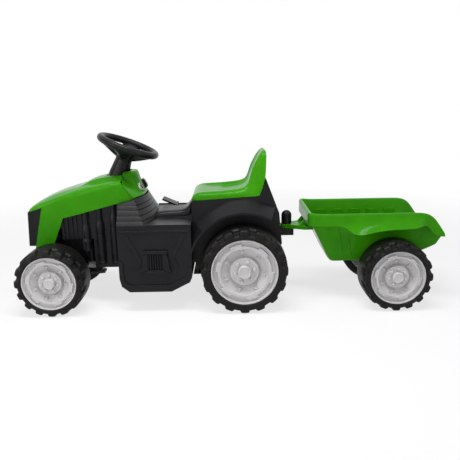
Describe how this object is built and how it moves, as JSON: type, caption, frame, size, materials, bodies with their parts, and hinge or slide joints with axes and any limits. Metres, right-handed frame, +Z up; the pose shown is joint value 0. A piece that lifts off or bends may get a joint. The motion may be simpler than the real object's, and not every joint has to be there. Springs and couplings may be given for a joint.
{
  "type": "ride on tractor toy with trailer",
  "caption": "Child's battery ride-on tractor with lugged wheels, hood, seat, linked front steering and a clip-on tub trailer.",
  "frame": {"origin": "middle of the footprint, on the ground under the wheels", "axes": "+X towards the tractor's front, +Y to the rider's left, +Z up"},
  "size_m": [1.36, 0.406, 0.5569],
  "materials": {
    "green_plastic": "glossy",
    "black_plastic": "satin",
    "tyre_plastic": "satin",
    "grey_plastic": "satin silver grey",
    "steel": "plain",
    "black_steel": "black paint",
    "pale_plastic": "matt",
    "button_plastic": "satin"
  },
  "bodies": {
    "chassis": {"engine_moulding": "black_plastic", "hood": "green_plastic", "front_grille": "black_plastic", "main_body": "black_plastic", "dashboard": "green_plastic", "button_bezel": "pale_plastic", "switch_housing": "black_plastic", "rear_body": "black_plastic", "seat": "green_plastic", "tow_bar": "black_plastic", "underside_cover": "black_plastic", "cover_screws": "steel", "battery": "black_plastic", "control_box": "pale_plastic", "gearbox": "black_plastic", "drive_motor": "steel", "rear_axle": "steel", "pedal_bracket": "black_plastic", "pedal_pin": "steel", "front_axle_beam": "black_plastic", "kingpins": "steel", "column_bush": "pale_plastic"},
    "steering": {"steering_wheel": "black_plastic", "steering_neck": "black_plastic", "steering_shaft": "steel"},
    "horn_button": {"horn_button": "black_plastic"},
    "knuckle_left": {"knuckle_left": "black_steel"},
    "knuckle_right": {"knuckle_right": "black_steel"},
    "tie_rod": {"tie_rod": "black_steel"},
    "accelerator_pedal": {"accelerator_pedal": "black_plastic"},
    "drive_switch": {"drive_switch": "black_plastic"},
    "power_button": {"power_button": "button_plastic"},
    "hitch_pin": {"hitch_pin": "black_plastic"},
    "trailer": {"trailer_tub": "green_plastic", "trailer_tongue": "green_plastic", "trailer_axle": "steel", "axle_brackets": "black_plastic"},
    "front_left_wheel": {"front_left_tyre": "tyre_plastic", "front_left_disc": "grey_plastic", "front_left_cap": "grey_plastic"},
    "front_right_wheel": {"front_right_tyre": "tyre_plastic", "front_right_disc": "grey_plastic", "front_right_cap": "grey_plastic"},
    "rear_left_wheel": {"rear_left_tyre": "tyre_plastic", "rear_left_disc": "grey_plastic", "rear_left_cap": "grey_plastic"},
    "rear_right_wheel": {"rear_right_tyre": "tyre_plastic", "rear_right_disc": "grey_plastic", "rear_right_cap": "grey_plastic", "drive_dog": "pale_plastic"},
    "trailer_left_wheel": {"trailer_left_tyre": "tyre_plastic", "trailer_left_disc": "grey_plastic", "trailer_left_cap": "grey_plastic"},
    "trailer_right_wheel": {"trailer_right_tyre": "tyre_plastic", "trailer_right_disc": "grey_plastic", "trailer_right_cap": "grey_plastic"}
  },
  "joints": [
    {"name": "steering_turn", "type": "hinge", "parent": "chassis", "child": "steering", "pos_m": [0.334, 0, 0.512], "axis": [-0.3584, 0, 0.9336], "range_deg": [-15, 15]},
    {"name": "knuckle_left_turn", "type": "hinge", "parent": "chassis", "child": "knuckle_left", "pos_m": [0.57, 0.09, 0.11], "axis": [0, 0, 1], "range_deg": [-15, 15]},
    {"name": "knuckle_right_turn", "type": "hinge", "parent": "chassis", "child": "knuckle_right", "pos_m": [0.57, -0.09, 0.11], "axis": [0, 0, 1], "range_deg": [-15, 15]},
    {"name": "tie_rod_pivot", "type": "hinge", "parent": "knuckle_left", "child": "tie_rod", "pos_m": [0.525, 0.09, 0.086], "axis": [0, 0, 1], "range_deg": [-15, 15]},
    {"name": "horn_press", "type": "slide", "parent": "steering", "child": "horn_button", "axis": [0.3584, 0, -0.9336], "range_m": [0, 0.003], "stiffness_N_per_m": 400, "springref_m": -0.001},
    {"name": "accelerator_press", "type": "hinge", "parent": "chassis", "child": "accelerator_pedal", "pos_m": [0.196, -0.112, 0.292], "axis": [0, 1, 0], "range_deg": [0, 12], "stiffness_Nm_per_rad": 2, "springref_deg": -2.86},
    {"name": "drive_switch_tip", "type": "hinge", "parent": "chassis", "child": "drive_switch", "pos_m": [0.29546, -0.032, 0.38264], "axis": [0, 1, 0], "range_deg": [-8, 8]},
    {"name": "power_button_press", "type": "slide", "parent": "chassis", "child": "power_button", "axis": [0.891, 0, -0.454], "range_m": [0, 0.003], "stiffness_N_per_m": 400, "springref_m": -0.001},
    {"name": "hitch_pin_lift", "type": "slide", "parent": "chassis", "child": "hitch_pin", "axis": [0, 0, 1], "range_m": [0, 0.06]},
    {"name": "trailer_yaw", "type": "hinge", "parent": "chassis", "child": "trailer", "pos_m": [-0.184, 0, 0.237], "axis": [0, 0, 1], "range_deg": [-32, 32]},
    {"name": "front_left_spin", "type": "hinge", "parent": "knuckle_left", "child": "front_left_wheel", "pos_m": [0.57, 0.153, 0.11], "axis": [0, 1, 0], "continuous": true},
    {"name": "front_right_spin", "type": "hinge", "parent": "knuckle_right", "child": "front_right_wheel", "pos_m": [0.57, -0.153, 0.11], "axis": [0, 1, 0], "continuous": true},
    {"name": "rear_left_spin", "type": "hinge", "parent": "chassis", "child": "rear_left_wheel", "pos_m": [-0.036, 0.153, 0.136], "axis": [0, 1, 0], "continuous": true},
    {"name": "rear_right_spin", "type": "hinge", "parent": "chassis", "child": "rear_right_wheel", "pos_m": [-0.036, -0.153, 0.136], "axis": [0, 1, 0], "continuous": true},
    {"name": "trailer_left_spin", "type": "hinge", "parent": "trailer", "child": "trailer_left_wheel", "pos_m": [-0.511, 0.153, 0.11], "axis": [0, 1, 0], "continuous": true},
    {"name": "trailer_right_spin", "type": "hinge", "parent": "trailer", "child": "trailer_right_wheel", "pos_m": [-0.511, -0.153, 0.11], "axis": [0, 1, 0], "continuous": true}
  ],
  "couplings": [
    {"joint": "knuckle_left_turn", "follows": "steering_turn", "ratio": 1},
    {"joint": "knuckle_right_turn", "follows": "steering_turn", "ratio": 1},
    {"joint": "tie_rod_pivot", "follows": "steering_turn", "ratio": -1}
  ]
}
